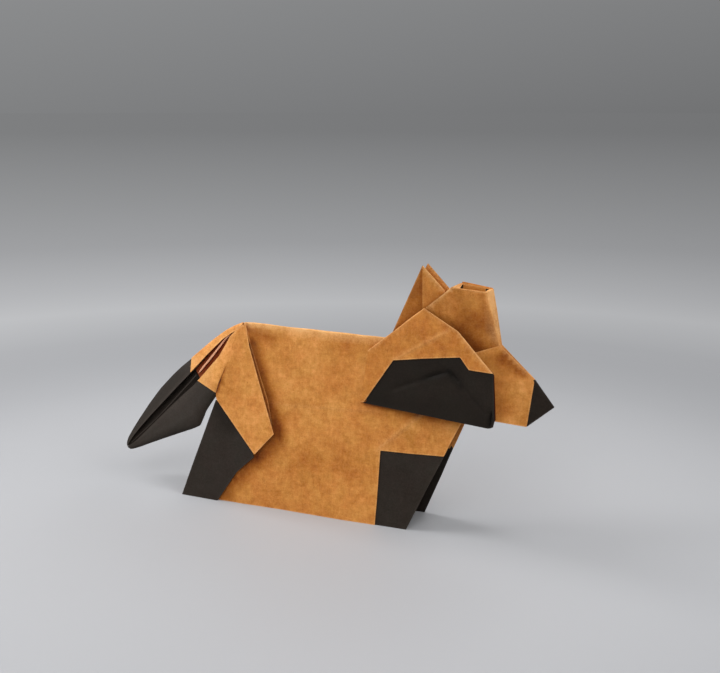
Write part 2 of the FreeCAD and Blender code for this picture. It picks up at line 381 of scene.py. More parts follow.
def fold_up(panels, inside, fold_radius, paired):
    """Flat panels joined along their folds, with rounded tips and folds."""
    bm = bmesh.new()
    for corners in panels:
        bm.faces.new([bm.verts.new(corner) for corner in corners])
    if paired:
        bmesh.ops.mirror(bm, geom=bm.verts[:] + bm.edges[:] + bm.faces[:],
                         matrix=Matrix.Identity(4), merge_dist=0.01, axis="Y")
    bmesh.ops.remove_doubles(bm, verts=bm.verts, dist=weld_reach)
    face_away(bm, inside)
    tips = [v for v in bm.verts if len(v.link_edges) == 2]
    bmesh.ops.bevel(bm, geom=tips, offset=tip_round, offset_type="OFFSET", segments=2, profile=0.5,
                    affect="VERTICES", material=-1, clamp_overlap=True)
    folds = [e for e in bm.edges if len(e.link_faces) == 2 and e.calc_face_angle() > least_fold]
    if folds and fold_radius:
        bmesh.ops.bevel(bm, geom=folds, offset=fold_radius, offset_type="OFFSET", segments=4,
                        profile=0.5, affect="EDGES", material=-1, clamp_overlap=True)
    return bm


def sheet(name, panels, material, thickness=0.2, inside=behind(0, 0), paired=True, cell=1.6,
          margin=rim_margin, fold_radius=0.3, bend=0.0, bend_seed=1.0, creases=(), flares=(),
          rim_paling=default_rim_paling, plain_rims=(), worn_and_lit=(), tone_and_shade=1.0, bands=()):
    """One folded sheet from the corners of its flat panels, mirrored to the far side if paired.

    Creases: two (x, z) ends, height, half width, and how much paler they are drawn. Paler lines: two
    ends, as points or as (x, z) on the first panel, reach, strength; they stand for scuffing and for
    painted highlight. Rims and folds are drawn paler by the rim share, partly scuffing and partly
    painted highlight, unless they are listed as plain.
    """
    bm = fold_up(panels, inside, fold_radius, paired)
    cut_cells(bm, cell)
    cut_margins(bm, margin)
    if bend:
        give(bm, bend, bend_seed)
    for start, end, height, width, _ in creases:
        press_crease(bm, start, end, height, width)
    for v in bm.verts:
        v.co = flared(v.co, flares)
    thicken(bm, thickness)
    for v in bm.verts:
        v.co.z = max(v.co.z, 0)
    surface = Plane(*panels[0][:3])
    lines = [(a, b, margin, rim_paling) for a, b in outline_lines(panels, plain_rims)]
    lines += [(surface.at(start), surface.at(end), width + 0.3, strength)
              for start, end, _, width, strength in creases]
    for start, end, reach, strength in worn_and_lit:
        ends = [p if isinstance(p, Vector) else surface.at(p) for p in (start, end)]
        lines.append((*ends, reach, strength))
    lines = [(flared(a, flares), flared(b, flares), reach, strength)
             for a, b, reach, strength in lines]
    mark_wear_and_highlight(bm, lines)
    mark_tone_and_shade(bm, tone_and_shade, bands)
    return finish_piece(bm, name, material)


# ---- Finishes -------------------------------------------------------------------------------------

def add(tree, kind, links=None, **settings):
    """Add a node, with its settings and the values or sockets that feed its inputs."""
    node = tree.nodes.new(kind)
    for key, value in settings.items():
        setattr(node, key, value)
    for key, value in (links or {}).items():
        if isinstance(value, bpy.types.NodeSocket):
            tree.links.new(value, node.inputs[key])
        else:
            node.inputs[key].default_value = value
    return node


def ramp(tree, value, stops):
    """A colour ramp over a value."""
    node = add(tree, "ShaderNodeValToRGB", {"Fac": value})
    colours = node.color_ramp
    while len(colours.elements) < len(stops):
        colours.elements.new(0.5)
    for element, (place, colour) in zip(colours.elements, stops):
        element.position = place
        element.color = (*colour, 1)
    return node.outputs["Color"]


def mix(tree, amount, a, b, how="MIX"):
    node = add(tree, "ShaderNodeMix", {0: amount, 6: a, 7: b}, data_type="RGBA", blend_type=how)
    return node.outputs[2]


def maths(tree, how, a, b):
    return add(tree, "ShaderNodeMath", {0: a, 1: b}, operation=how).outputs[0]


def sum_of(tree, *values):
    total = values[0]
    for value in values[1:]:
        total = maths(tree, "ADD", total, value)
    return total


def product(tree, a, b):
    return maths(tree, "MULTIPLY", a, b)


def reach_along(tree, place, direction):
    """How far a place lies along a direction."""
    return add(tree, "ShaderNodeVectorMath", {0: place, 1: direction},
               operation="DOT_PRODUCT").outputs["Value"]


def noise_value(tree, place, scale, detail, rough):
    """Noise over a place, with its number of waves, its detail and its roughness."""
    node = add(tree, "ShaderNodeTexNoise", {"Vector": place, "Scale": scale, "Detail": detail,
                                            "Roughness": rough})
    return node.outputs["Fac"]


def band(tree, value, given, wanted):
    """The value, with one range stretched over another and clamped to it."""
    node = add(tree, "ShaderNodeMapRange", {"Value": value, "From Min": given[0],
                                            "From Max": given[1], "To Min": wanted[0],
                                            "To Max": wanted[1]})
    return node.outputs[0]


def scaled(tree, place, waves):
    """A place in waves, from the waves for each millimetre along x, y and z."""
    scale = [count / MM for count in waves]
    return add(tree, "ShaderNodeMapping", {"Vector": place, "Scale": scale}).outputs[0]


def paper_lightness(tree, fine, blotch, weave, toning_and_shade, spread):
    """How light the paper is drawn: cloudy, blotched, stained and specked dye, times the stored
    toning, which also holds painted shade and light.
    """
    cloud = noise_value(tree, fine, 0.10, 3.0, 0.55)
    total = sum_of(tree, cloud, blotch, product(tree, weave, 0.45))
    lightness = band(tree, total, (1.3, 2.05), (1 - spread, 1 + spread))
    pools = noise_value(tree, fine, 0.045, 4.0, 0.6)
    stain = band(tree, pools, (0.47, 0.66), (1.0, 1 - spread * 0.55))
    dots = noise_value(tree, fine, 1.15, 2.0, 0.5)
    speck = band(tree, dots, (0.24, 0.32), (0.8, 1.0))
    return product(tree, product(tree, lightness, stain), product(tree, speck, toning_and_shade))


def paper_finish(name, dye, spread, deepen, worn_and_lit, rough, shine):
    """Matt fibrous paper: cloudy dye, fine fibres, specks, and paler folds, partly scuffed by handling
    and partly painted highlight.

    Where the dye is thicker it is darker, and deeper in colour by the powers in deepen; painted shade
    in the stored toning is darkened and deepened the same way.
    """
    material = bpy.data.materials.new(name)
    material.use_nodes = True
    tree = material.node_tree
    shader = tree.nodes["Principled BSDF"]
    place = add(tree, "ShaderNodeTexCoord").outputs["Object"]
    fine = scaled(tree, place, (1, 1, 1))
    blotch = noise_value(tree, fine, 0.55, 5.0, 0.62)
    grain = noise_value(tree, fine, 3.2, 4.0, 0.65)
    strands = noise_value(tree, scaled(tree, place, (0.42, 0.65, 1.35)), 1.0, 3.0, 0.6)
    nap = noise_value(tree, scaled(tree, place, (1.3, 0.7, 0.48)), 1.0, 3.0, 0.6)
    weave = sum_of(tree, strands, nap, grain)
    toning_and_shade = add(tree, "ShaderNodeAttribute", attribute_name="tone_and_shade").outputs["Fac"]
    lightness = paper_lightness(tree, fine, blotch, weave, toning_and_shade, spread)
    parts = [maths(tree, "POWER", lightness, power) for power in deepen]
    drift = band(tree, noise_value(tree, fine, 0.22, 3.0, 0.6), (0.35, 0.65), (0.94, 1.06))
    parts[1:] = [product(tree, part, drift) for part in parts[1:]]
    hue = add(tree, "ShaderNodeCombineColor", dict(enumerate(parts))).outputs[0]
    colour = mix(tree, 1.0, (*dye, 1), hue, "MULTIPLY")
    paling_share = add(tree, "ShaderNodeAttribute", attribute_name="wear_and_highlight").outputs["Fac"]
    patchy = band(tree, sum_of(tree, blotch, grain), (0.75, 1.2), (0.25, 1.0))
    fuzz = band(tree, noise_value(tree, fine, 2.4, 5.0, 0.7), (0.42, 0.75), (0.0, 0.2))
    pale = sum_of(tree, product(tree, paling_share, patchy), product(tree, fuzz, toning_and_shade))
    colour = mix(tree, pale, colour, (*worn_and_lit, 1))
    tree.links.new(colour, shader.inputs["Base Color"])
    dull = band(tree, blotch, (0.3, 0.7), (rough - 0.08, rough + 0.08))
    tree.links.new(dull, shader.inputs["Roughness"])
    relief = sum_of(tree, product(tree, blotch, 0.8), weave)
    bump = add(tree, "ShaderNodeBump", {"Height": relief, "Strength": 0.5, "Distance": 0.05 * MM})
    tree.links.new(bump.outputs[0], shader.inputs["Normal"])
    shader.inputs["Specular IOR Level"].default_value = shine
    return material


brown = paper_finish("brown_side", dye=(0.533, 0.204, 0.038), spread=0.3, deepen=(1.0, 1.5, 2.8),
                     worn_and_lit=(0.76, 0.42, 0.17), rough=0.82, shine=0.2)
black = paper_finish("black_side", dye=(0.0207, 0.0153, 0.0112), spread=0.25,
                     deepen=(1.0, 1.12, 1.35), worn_and_lit=(0.060, 0.046, 0.037), rough=0.7, shine=0.12)
# The pale pink of a fold edge lit inside the tail's slot: painted highlight, coloured by light
# reflected between the brown layers.
lit_pink_edge = paper_finish("lit_pink_edge_paper", dye=(0.64, 0.275, 0.145), spread=0.2, deepen=(1.0, 1.2, 1.4),
                     worn_and_lit=(0.78, 0.44, 0.28), rough=0.85, shine=0.2)
# Brown paper as it looks in deep shade, reddened by light passed between brown layers: painted shade.
shaded_brown = paper_finish("shaded_brown_paper", dye=(0.21, 0.032, 0.006), spread=0.25,
                        deepen=(1.0, 1.2, 1.4), worn_and_lit=(0.36, 0.10, 0.04), rough=0.85, shine=0.1)


# ---- Body -----------------------------------------------------------------------------------------

def make_walls():
    """The brown walls with the ridge that joins them, and an inner layer."""
    ridge = [(-21.0, 45.25), (-18.0, 45.45), (-10.0, 45.35), (-3.5, 45.1), (1.5, 44.9),
             (29.6, 44.85)]
    side = wall.panel([rear_foot, *ridge, throat, elbow, leg_back_top, leg_back_low])
    top = [[wall.at(a), wall.at(b), spot(b, 0), spot(a, 0)] for a, b in zip(ridge, ridge[1:])]
    creases = [((-11.4, 26.0), (16.5, 27.1), 0.08, 0.5, 0.15),
               ((17.0, 18.4), (28.1, 28.2), 0.16, 0.5, 0.35),
               ((1.3, 26.4), (0.3, 43.0), -0.07, 0.6, 0.0),
               ((-2.5, 9.0), (-0.5, 24.0), 0.05, 0.6, 0.0)]
    # Lighter along the ridge top: painted highlight. Below it, darker and lighter patches; the
    # darkest, beside the top of the thigh flap, is painted shade.
    ridge_light_and_shade = [((-19.0, 45.3), (28.0, 44.8), 1.3, 1.25),
                   ((-18.6, 43.3), (-13.5, 42.3), 2.4, 0.68),
                   ((-14.0, 42.0), (-9.0, 42.2), 2.6, 0.84),
                   ((-7.0, 42.0), (-2.5, 42.0), 4.0, 1.27),
                   ((3.5, 41.8), (15.0, 42.2), 2.4, 0.86),
                   ((21.0, 42.4), (24.5, 42.0), 2.4, 0.8)]
    # Painted shadow of the thigh flap on the wall, beside and under it.
    thigh_shadow = [((-20.3, 44.9), (-19.0, 41.0), 0.9, 0.45),
                    ((-17.4, 40.5), (-14.2, 31.0), 3.2, 0.9),
                    ((-18.6, 40.5), (-9.9, 19.0), 2.9, 0.44),
                    ((-12.5, 27.0), (-9.6, 19.0), 3.8, 0.86),
                    ((-10.2, 18.6), (-15.2, 12.6), 3.4, 0.56),
                    ((-15.0, 12.8), (-10.5, 14.5), 4.2, 0.8)]
    # Painted shadow on the wall beside the black flap of the rear leg.
    rear_leg_shadow = [((-15.4, 12.6), (-19.2, 9.4), 2.2, 0.55),
                       ((-19.2, 9.4), (-24.8, 2.0), 1.0, 0.65),
                       ((-16.5, 11.5), (-25.0, 0.5), 5.0, 0.6)]
    # Painted shadow on the wall under the cheek flap.
    cheek_shadow = [((13.0, 29.0), (27.0, 27.7), 1.5, 0.36),
                   ((27.0, 27.7), (40.0, 26.4), 1.3, 0.55),
                   ((12.0, 27.2), (29.0, 26.0), 2.0, 0.84)]
    clouds = [((3.6, 30.0), (4.0, 40.0), 3.6, 0.93), ((-9.0, 33.0), (-3.0, 30.0), 5.0, 1.05),
              ((-4.0, 12.0), (8.0, 14.0), 6.0, 0.92)]
    # The paler lines along the ridge are painted highlight on the ridge top.
    sheet("walls", [side, *top], brown, thickness=0.18, inside=under(43.0), cell=1.5,
          fold_radius=0.36, bend=0.3, creases=creases, flares=body_flares,
          worn_and_lit=[((-20.5, 45.3), (-8.0, 45.2), 1.6, 1.0),
                  ((-8.0, 45.1), (29.0, 44.8), 2.0, 0.95)],
          tone_and_shade=1.02, bands=ridge_light_and_shade + thigh_shadow + rear_leg_shadow + cheek_shadow + clouds)
    inner = [(-36.1, 0), (-21.1, 44.0), (29.4, 44.0), (38.5, 30.5), (32.6, 18.4), (17.0, 18.4),
             (16.9, 0)]
    # The inner layer is drawn darker than the walls: painted shade inside the body.
    sheet("wall_lining", [wall.panel(inner, lift=-0.34)], brown, thickness=0.16, cell=2.4, bend=0.3,
          flares=body_flares, rim_paling=0.2, tone_and_shade=0.8)


def make_front_legs():
    """The black front feet, under the edge of the walls."""
    leg = [(15.4, 0), (15.6, 20.4), (31.5, 20.4), (33.1, 18.8), elbow, front_foot]
    sheet("front_legs", [wall.panel(leg, lift=-0.2)], black, cell=1.5, bend=0.3, flares=body_flares,
          tone_and_shade=1.06)


def make_rear_legs():
    """The black flap over each rear foot, and the brown layer under it."""
    leg = [rear_foot, rear_foot_front, (-20.7, 8.0), (-16.0, 12.4), shin_top, (-27.9, 25.4)]
    # The band darkens the top of the black flap: painted shade under the thigh flap.
    sheet("rear_legs", [shin.panel(leg)], black, cell=1.5, bend=0.25, tone_and_shade=1.14,
          bands=[((-28.2, 25.0), (-24.0, 20.0), 5.0, 0.62)])
    lining = [(-36.2, 0), (-26.3, 0), (-21.2, 8.0), (-17.4, 12.0), shin_top, (-27.2, 25.4)]
    sheet("rear_leg_lining", [wall.panel(lining, lift=0.2)], brown, thickness=0.16, cell=2.4, bend=0.3)


def make_thighs():
    """The leaf-shaped flap over each hip: a top layer, and one that peeps out in front of it."""
    leaf = [(-20.4, 44.8), (-19.15, 39.9), (-10.5, 18.9), (-15.5, 13.3), (-27.5, 25.8),
            (-27.75, 27.5), (-27.2, 29.7), (-25.3, 34.4), (-22.9, 42.6)]
    # The bands darken the flap's rear edge where it meets the tail: a painted shadow line in the gap
    # between them.
    sheet("thigh_flaps", [thigh.panel(leaf)], brown, cell=1.3, bend=0.18, bend_seed=4.0,
          creases=[((-20.8, 41.0), (-13.8, 15.2), -0.05, 0.6, 0.0)], plain_rims=leaf[4:] + leaf[:1],
          tone_and_shade=1.1, bands=[((-27.7, 27.6), (-26.8, 30.4), 0.8, 0.14),
                           ((-26.8, 30.4), (-25.5, 34.0), 0.6, 0.3)])
    lining = [(-20.3, 44.3), (-18.75, 39.9), (-13.15, 26.9), (-12.1, 23.3), (-11.4, 19.8),
              (-15.9, 14.2), (-27.0, 25.6), (-25.6, 30.1), (-22.4, 42.4)]
    # The band darkens this layer next to the flap's front edge: painted shadow in the groove between
    # the layers.
    sheet("thigh_linings", [thigh_under.panel(lining)], brown, cell=1.3, bend=0.18, bend_seed=4.0,
          rim_paling=0.3, plain_rims=lining[6:], tone_and_shade=0.9, bands=[((-19.1, 40.0), (-10.9, 19.4), 0.95, 0.3)])


# ---- Head -----------------------------------------------------------------------------------------

def make_hood():
    """The open-topped crown with its narrow front facet, the facet under it, and its inside."""
    rear_low = (32.35, 56.57)
    places = [crown_rear, rear_low, hood_mid, (39.2, 42.0), (45.0, 43.0), stop, crown_front]
    side = crown.panel(places)
    front = [side[6], side[5], spot(stop, 0), spot(crown_front, 0)]
    strip = [side[0], side[1], spot(rear_low, 0), spot(crown_rear, 0)]
    # Painted shade on the crown: along and under the cheek's crest, across its middle, near the stop
    # and in its front upper corner. The last band is a painted highlight along the front facet.
    shadow = [((30.0, 51.6), (36.5, 46.6), 2.6, 0.7), ((36.5, 46.6), (41.0, 43.0), 5.0, 0.54),
              ((40.5, 45.0), (44.6, 46.0), 3.0, 0.85), ((37.4, 51.0), (43.0, 50.4), 4.9, 0.64),
              ((41.4, 56.6), (42.3, 53.2), 1.7, 0.8), ((43.4, 49.2), (44.8, 46.2), 1.9, 0.72),
              ((42.95, 57.7), (45.65, 45.4), 0.8, 1.45)]
    # A paler rear rim, partly scuffing and partly painted highlight, and the whole front facet drawn
    # paler: painted highlight.
    rear_rim_paling = ((34.2, 58.1), (28.2, 53.1), 0.5, 1.0)
    facet_highlight = (spot(crown_front, 0), spot((44.9, 47.9), 0), 2.9, 1.0)
    inside_crown = under(55.0, x=38.0)
    sheet("hood", [side, front, strip], brown, thickness=0.25, inside=inside_crown, cell=1.3,
          fold_radius=0.16, bend=0.16, bend_seed=2.0, flares=hood_flares, rim_paling=0.6,
          worn_and_lit=[facet_highlight, rear_rim_paling], tone_and_shade=1.04, bands=shadow)
    back = [hood_mid, hood_cross, (39.5, 42.5)]
    sheet("hood_back", [hood_base.panel(back)], brown, cell=2.0, bend=0.1)
    hollow = [(34.3, 58.15), (42.3, 57.45), (44.6, 46.5), (36.0, 46.5), (29.5, 53.0)]
    hollow_side = crown.panel(hollow, lift=-0.35)
    hollow_front = [hollow_side[1], hollow_side[2], spot(hollow[2], 0), spot(hollow[1], 0)]
    sheet("hood_lining", [hollow_side, hollow_front], black, thickness=0.15, inside=inside_crown,
          cell=2.4, fold_radius=0.1, flares=hood_flares)
    tuck = [(35.4, 58.12), (40.9, 57.66), (40.9, 52.0), (35.4, 52.0)]
    sheet("crown_tucks", [crown.panel(tuck, lift=-0.62)], brown, cell=2.0, flares=hood_flares, rim_paling=0.4,
          tone_and_shade=0.84)


def make_crown_lips():
    """Narrow lips over the ends of the crown's opening, and one that stands along its far rim."""
    near, far, rim = -lip_half, lip_half, far_lip_half
    lips = {"crown_rear_lip": [(34.5, near, 58.36), (36.4, near, 58.18), (34.95, far, 58.31),
                               (34.5, far, 58.36)],
            "crown_front_lip": [(42.05, near, 57.7), (42.6, near, 57.65), (42.6, far, 57.65),
                                (41.85, far, 57.72)],
            "crown_far_lip": [(34.7, rim, 57.6), (42.4, rim, 57.2), (42.4, rim, 57.92),
                              (34.8, rim, 58.75)]}
    for name, corners in lips.items():
        sheet(name, [[Vector(corner) for corner in corners]], brown, paired=False,
              inside=lambda centre: centre - Vector((0, 0, 1)), flares=hood_flares, rim_paling=0.9,
              tone_and_shade=1.1)


def make_neck():
    """The layer that runs on from the hood into the body."""
    neck = [hood_low, hood_cross, (36.6, 44.3), (38.1, 36.0), (20.1, 36.0)]
    sheet("neck", [wall.panel(neck, lift=0.2)], brown, cell=2.4, bend=0.2, flares=body_flares)


def make_snout():
    """The brown snout with its narrow top facet, over the black nose."""
    side = snout.panel([(37.4, 42.58), stop, nose_top, chin_front, chin_rear, (36.5, 28.6)])
    top = [side[1], side[2], spot(nose_top, 0), spot(stop, 0)]
    # Painted shade along the top fold, under the seam and beside the cheek, a darker streak in the
    # middle, and slightly lighter towards the nose.
    snout_shade = [((46.5, 43.2), (50.8, 39.5), 2.1, 0.58), ((41.0, 42.0), (46.0, 42.4), 2.4, 0.84),
              ((45.6, 41.5), (46.8, 30.5), 3.0, 0.78), ((48.6, 39.5), (49.2, 33.0), 1.3, 0.9),
              ((50.0, 36.0), (50.5, 31.0), 3.0, 1.06)]
    sheet("snout", [side, top], brown, inside=behind(3, 3), cell=1.1, fold_radius=0.14, bend=0.14,
          bend_seed=7.0, tone_and_shade=1.03, bands=snout_shade)
    nose_plane = Plane(spot(nose_top, -0.02), spot(nose_tip, -0.05), spot(chin_front, -0.45))
    nose = [(50.0, 37.0), nose_top, nose_tip, chin_front, (49.3, 28.2)]
    sheet("nose", [nose_plane.panel(nose)], black, thickness=0.25, cell=1.2, tone_and_shade=0.8)


def make_cheeks():
    """The flaps folded back over the hood edge: brown round a black patch, with a brown lining."""
    patch_edge = [(39.7, 40.15), (37.35, 42.72), (28.1, 41.36), (20.14, 40.0), (12.8, 29.1)]
    outside = [cheek_rear, hood_low, hood_mid, cheek_crest, cheek_front_top]
    fold = [cheek.at(hood_low), cheek.at(hood_mid), crown.at(hood_mid, lift=0.02),
            wall.at(hood_low, lift=0.25)]
    bent = {"bend": 0.22, "bend_seed": 3.0}
    # The paler lines along the crest and the front top edge are partly scuffing and partly painted
    # highlight on the lit crest.
    sheet("cheeks", [cheek.panel(outside + patch_edge), fold], brown, thickness=0.16,
          inside=behind(0, 2), cell=1.2, fold_radius=0.15, **bent,
          creases=[((20.3, 40.2), (34.3, 48.6), 0.11, 0.4, 0.3)], rim_paling=0.62,
          plain_rims=(cheek_rear, hood_low),
          worn_and_lit=[(hood_mid, cheek_crest, 0.5, 0.85), (cheek_crest, cheek_front_top, 0.55, 1.0)],
          tone_and_shade=0.9, bands=[((20.0, 41.2), (33.0, 49.4), 1.6, 0.93),
                           ((34.0, 44.0), (42.0, 41.0), 2.2, 0.96)])
    patch = [(13.4, 29.3), (15.0, 40.5), (28.0, 50.5), (36.0, 47.4), cheek_front_top,
             cheek_front_low, cheek_heel, cheek_toe, (36.0, 27.98), (12.4, 28.98)]
    dents = [((19.5, 32.8), (28.0, 36.5), -0.2, 0.7, 0.0),
             ((28.0, 36.5), (34.6, 39.2), -0.34, 0.8, 0.0),
             ((34.6, 39.2), (37.4, 37.0), -0.4, 0.8, 0.0),
             ((37.4, 37.0), (45.6, 29.6), -0.2, 0.6, 0.0),
             ((45.5, 27.8), (45.8, 31.6), -0.3, 0.35, 0.0)]
    # The bands darken the patch along its dents and at the notch and lighten it below them: painted
    # shade and painted light.
    sheet("cheek_patches", [cheek.panel(patch, lift=-0.17)], black, thickness=0.3, cell=1.1, **bent,
          creases=dents, rim_paling=0.25, tone_and_shade=0.45,
          bands=[((28.0, 36.5), (34.8, 39.2), 1.3, 0.5), ((34.8, 39.0), (37.8, 36.4), 1.5, 0.5),
                 ((41.0, 38.0), (45.5, 34.0), 4.0, 1.35), ((22.0, 32.6), (35.0, 35.0), 3.4, 1.25),
                 ((45.6, 28.2), (45.8, 31.0), 0.8, 0.3)])
    rim = [(45.0, 39.6), (45.72, 39.85), (46.7, 29.75), (46.25, 29.25), (45.75, 31.35)]
    # The brown layer behind the patch's front edge, drawn in the dark red of deep shade: painted
    # shade.
    sheet("cheek_rims", [cheek.panel(rim, lift=-0.5)], shaded_brown, thickness=0.12, **bent, rim_paling=0.0,
          tone_and_shade=0.3)
    lining = [(20.0, 34.0), (24.0, 46.0), (28.0, 50.3), (36.0, 47.2), (45.4, 39.8),
              (46.35, 29.55), (45.95, 28.4), (30.0, 28.6)]
    # The lining behind the cheek is drawn darker: painted shade.
    sheet("cheek_linings", [cheek.panel(lining, lift=-0.75)], brown, thickness=0.25, **bent, tone_and_shade=0.7)


def make_ears():
    """Pointed ears: a front layer whose sharp upright edge lies over the darker rear facet."""
    tip = (26.95, 62.75)
    rim_end = (32.35, 57.3)
    crease_low = (26.5, 51.0)
    rear_low = (19.5, 44.5)
    front = Plane(spot(tip, -ear_tip_half), spot(rim_end, -ear_rim_half),
                  spot(crease_low, -ear_crease_half))
    # The first band is a painted shadow on the ear just above the hood's edge. The paler line along
    # the upper rim is partly scuffing and partly painted highlight.
    sheet("ears", [front.panel([tip, rim_end, (32.66, 53.5), crease_low])], brown, cell=1.0,
          bend=0.06, plain_rims=(tip, crease_low),
          worn_and_lit=[((27.1, 61.5), (26.65, 51.5), 0.3, 0.25),
                  ((27.1, 62.4), (32.2, 57.3), 0.45, 1.0)],
          bands=[((26.7, 51.6), (32.5, 56.0), 1.5, 0.62), ((29.0, 60.2), (28.0, 53.0), 2.5, 1.06)])
    rear = Plane(front.at(tip), front.at(crease_low), spot(rear_low, -ear_rear_half))
    back = [tip, (27.5, 61.0), (27.2, 51.0), (26.5, 49.5), rear_low, (19.0, 45.7)]
    # The rear facet is drawn darker, most of all beside the front layer's edge: painted shade, with
    # one lighter patch.
    sheet("ear_backs", [rear.panel(back, lift=-0.04)], brown, thickness=0.16, cell=1.0, bend=0.06,
          rim_paling=0.45, plain_rims=back[1:5], tone_and_shade=0.72,
          bands=[((26.5, 61.5), (26.1, 51.0), 0.8, 0.76), ((24.0, 54.0), (21.5, 49.5), 1.8, 1.1),
                 ((24.5, 49.5), (20.0, 46.5), 2.4, 0.8)])
    lining = [(27.0, 61.6), (31.6, 57.15), (32.4, 53.5), (26.5, 51.0)]
    sheet("ear_linings", [front.panel(lining, lift=-0.3)], brown, thickness=0.12, cell=1.0, bend=0.06,
          rim_paling=0.1, tone_and_shade=0.8)


# ---- Tail -----------------------------------------------------------------------------------------

tail_root = Vector((-22.54, 0, 43.7))
tail_along = Vector((-0.696, -0.02, -0.717)).normalized()
tail_lean = Vector((-0.249, -0.931, 0.268))
tail_out = (tail_lean - tail_along * tail_lean.dot(tail_along)).normalized()
tail_across = tail_along.cross(tail_out)

# Depths of the tube at full size: its slotted near side, its rims, and its far side
slot_depth = 0.4
rim_depth = -0.6
far_depth = -1.6

# Distance along, upper outline, upper lip, lower lip, lower outline, share of full depth
tail_rows = [
    (-1.5, 0.5, -0.1, -0.2, -1.2, 0.4), (1.2, 1.7, 0.2, 0.2, -1.9, 0.45),
    (3.5, 2.6, 0.8, 0.2, -2.6, 0.55), (5.8, 3.2, 1.3, -0.55, -4.2, 0.65),
    (9.3, 3.9, 1.5, -1.5, -6.2, 0.8), (13.5, 4.5, 1.57, -1.7, -8.4, 0.95),
    (18.0, 5.15, 1.55, -1.9, -8.8, 1), (22.0, 5.7, 1.65, -1.65, -9.6, 1),
    (25.5, 5.95, 1.75, -1.35, -11.15, 1), (31.0, 6.0, 1.8, -1.0, -8.8, 1),
    (36.5, 5.4, 1.85, -0.75, -6.3, 0.9), (42.0, 4.4, 1.8, -0.5, -3.95, 0.8),
    (46.0, 3.4, 1.6, -0.2, -2.25, 0.6), (48.2, 2.7, 1.3, 0.2, -1.2, 0.45),
    (49.3, 2.0, 1.05, 0.55, -0.6, 0.3), (49.8, 1.3, 0.85, 0.75, 0.2, 0.15),
]
black_start = 14.0         # how far along the black tube begins, inside the brown root
black_row = 4              # its first row, and the number of rows of the root
root_rows = 8


def tail_point(along, across, depth):
    return tail_root + tail_along * along + tail_across * across + tail_out * depth


def tail_chain(bm, row, swell):
    """One open cross-section of the tube, from the upper lip round the back to the lower lip.

    Swell sets it further out, so that one tube lies round another.
    """
    along, upper, lip_up, lip_low, lower, full = row
    near, rim, far = slot_depth * full, rim_depth * full, far_depth * full
    shoulder, heel = 0.5 * full, 0.8 * full
    corners = [(lip_up, near + swell), (upper - shoulder, near * 0.35 + swell),
               (upper + swell, rim), (upper - shoulder, far - swell),
               (lower + heel, far - swell), (lower - swell, rim),
               (lower + heel, near * 0.3 + swell), (lip_low, near + swell)]
    verts = [bm.verts.new(tail_point(along, across, depth)) for across, depth in corners]
    return [bm.edges.new(pair) for pair in zip(verts, verts[1:])]


def tail_line(start, end):
    """The plane that stands on the tail along a line between two (along, across) places."""
    across = tail_along * (end[1] - start[1]) - tail_across * (end[0] - start[0])
    if across.dot(tail_along) < 0:
        across = -across
    return tail_point(*start, 0), across.normalized()


def tail_tube(name, rows, swell, material, tone_and_shade, start=None, ends=(), bands=()):
    """A flattened tube, open along its near side.

    It may begin at a start along the tail, and its upper (1) and lower (-1) halves may end at
    lines of their own.
    """
    bm = bmesh.new()
    chains = [tail_chain(bm, row, swell) for row in rows]
    for first, second in zip(chains, chains[1:]):
        bmesh.ops.bridge_loops(bm, edges=first + second)
    if start is not None:
        bmesh.ops.bisect_plane(bm, geom=bm.verts[:] + bm.edges[:] + bm.faces[:], dist=cut_reach,
                               plane_co=tail_point(start, 0, 0), plane_no=tail_along,
                               clear_inner=True)
    for half, (place, across) in ends:
        faces = [face for face in bm.faces
                 if (face.calc_center_median() - tail_root).dot(tail_across) * half > 0]
        bmesh.ops.bisect_plane(bm, geom=with_corners(faces), dist=cut_reach, plane_co=place,
                               plane_no=across, clear_outer=True)
    middle = tail_point(0, 0.5, rim_depth)
    face_away(bm, lambda c: middle + tail_along * (c - middle).dot(tail_along)
              + tail_across * (c - middle).dot(tail_across) * 0.6)
    bmesh.ops.subdivide_edges(bm, edges=bm.edges[:], cuts=2, use_grid_fill=True, smooth=0.15)
    return finish_tail(bm, name, material, thickness=0.2, bend=0.12, tone_and_shade=tone_and_shade, bands=bands)


def slot_fold(name, rows, material, tone_and_shade):
    """A narrow fold inside the slot. Rows: distance along, lower edge, upper edge, depth."""
    bm = bmesh.new()
    chains = []
    for along, low, high, depth in rows:
        verts = [bm.verts.new(tail_point(along, across, depth)) for across in (low, high)]
        chains.append(bm.edges.new(verts))
    for first, second in zip(chains, chains[1:]):
        bmesh.ops.bridge_loops(bm, edges=[first, second])
    face_away(bm, lambda c: c - tail_out)
    bmesh.ops.subdivide_edges(bm, edges=bm.edges[:], cuts=2, use_grid_fill=True, smooth=0.1)
    return finish_tail(bm, name, material, thickness=0.15, tone_and_shade=tone_and_shade)


def finish_tail(bm, name, material, thickness, tone_and_shade, bend=0.0, bands=()):
    """Bend, thicken and mark a sheet of the tail, and put it in the scene."""
    bm.normal_update()
    rims = [(e.verts[0].co.copy(), e.verts[1].co.copy(), rim_margin, default_rim_paling)
            for e in bm.edges if e.is_boundary]
    if bend:
        give(bm, bend, 5.0)
    thicken(bm, thickness)
    mark_wear_and_highlight(bm, rims, mirrored=False)
    mark_tone_and_shade(bm, tone_and_shade, bands)
    return finish_piece(bm, name, material)


